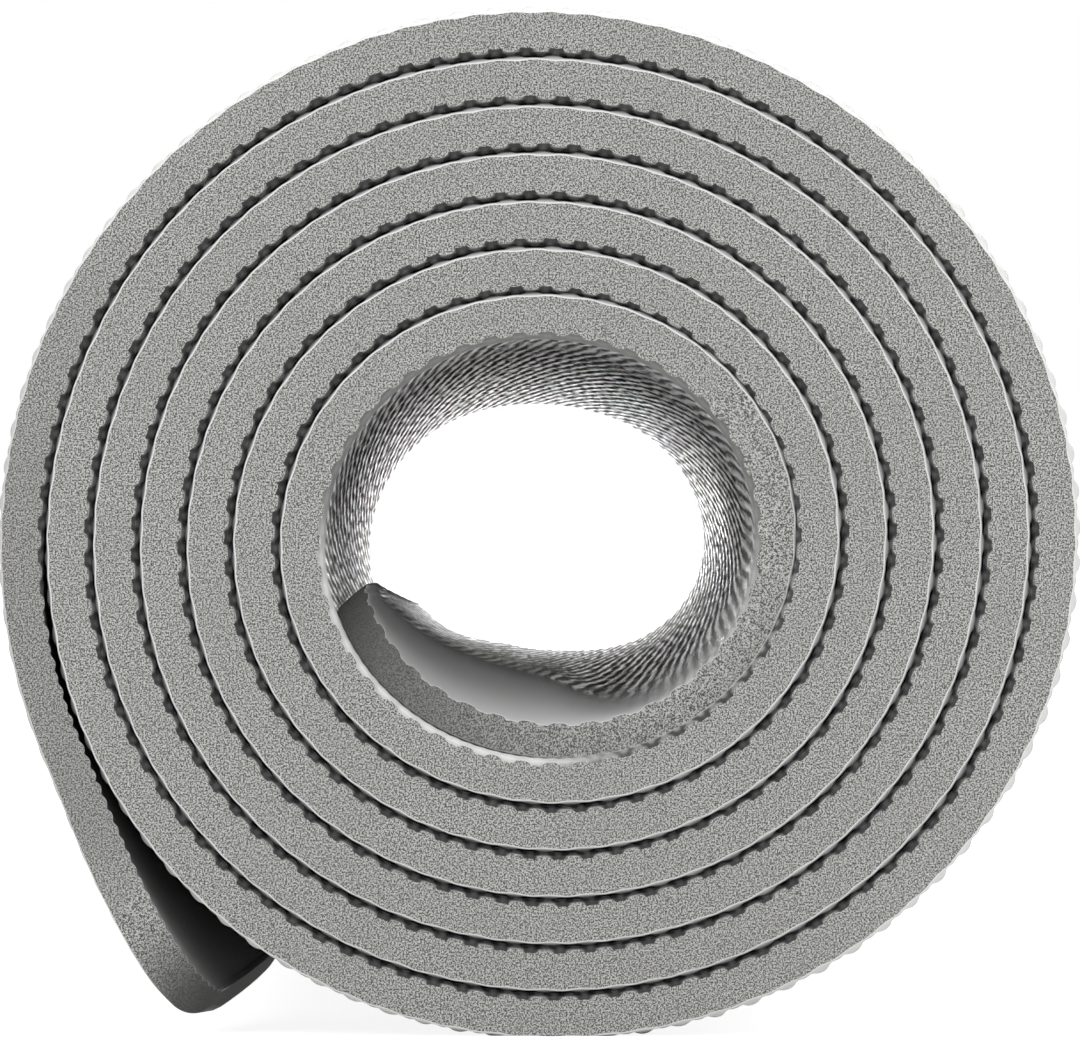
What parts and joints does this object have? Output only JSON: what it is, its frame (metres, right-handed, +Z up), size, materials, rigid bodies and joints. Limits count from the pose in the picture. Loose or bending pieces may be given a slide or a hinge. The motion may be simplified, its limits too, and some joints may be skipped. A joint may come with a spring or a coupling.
{
  "type": "rolled yoga mat",
  "caption": "Foam yoga mat rolled up on its side: a laminated sheet wound in a spiral round an open bore, with an outer end that lifts off the roll and an inner end that curls into the bore.",
  "frame": {"origin": "middle of the roll's foot on the floor, halfway along its length", "axes": "+Z up, +Y along the roll's axis away from the end that the picture shows, +X to the right seen from that end"},
  "size_m": [0.124, 0.61, 0.1154],
  "materials": {
    "practice_foam": "matte, moulded pads",
    "base_foam": "matte, gentle waves",
    "scrim": "open polyester weave"
  },
  "bodies": {
    "roll": {"roll_practice_ply": "practice_foam", "roll_scrim": "scrim", "roll_base_ply": "base_foam"},
    "panel_3": {"panel_3_practice_ply": "practice_foam", "panel_3_scrim": "scrim", "panel_3_base_ply": "base_foam"},
    "panel_2": {"panel_2_practice_ply": "practice_foam", "panel_2_scrim": "scrim", "panel_2_base_ply": "base_foam"},
    "panel_1": {"panel_1_practice_ply": "practice_foam", "panel_1_scrim": "scrim", "panel_1_base_ply": "base_foam"},
    "tail": {"tail_practice_ply": "practice_foam", "tail_scrim": "scrim", "tail_base_ply": "base_foam"},
    "core_end": {"core_end_practice_ply": "practice_foam", "core_end_scrim": "scrim", "core_end_base_ply": "base_foam"}
  },
  "joints": [
    {"name": "panel_3_lift", "type": "hinge", "parent": "roll", "child": "panel_3", "pos_m": [0.01947, 0, 0.11137], "axis": [-0.0005, 1, -0.0036], "range_deg": [0, 40], "stiffness_Nm_per_rad": 0.15},
    {"name": "panel_2_lift", "type": "hinge", "parent": "panel_3", "child": "panel_2", "pos_m": [-0.02093, 0, 0.11063], "axis": [0.0006, 1, -0.0034], "range_deg": [0, 40], "stiffness_Nm_per_rad": 0.15},
    {"name": "panel_1_lift", "type": "hinge", "parent": "panel_2", "child": "panel_1", "pos_m": [-0.05327, 0, 0.08457], "axis": [-0.001, 1, -0.0015], "range_deg": [0, 40], "stiffness_Nm_per_rad": 0.15},
    {"name": "tail_lift", "type": "hinge", "parent": "panel_1", "child": "tail", "pos_m": [-0.06023, 0, 0.04245], "axis": [-0.0018, 1, -0.0024], "range_deg": [0, 45], "stiffness_Nm_per_rad": 0.15},
    {"name": "core_end_curl", "type": "hinge", "parent": "roll", "child": "core_end", "pos_m": [0.009, 0, 0.037], "axis": [-0.0006, 1, -0.0007], "range_deg": [0, 45], "stiffness_Nm_per_rad": 0.15}
  ]
}
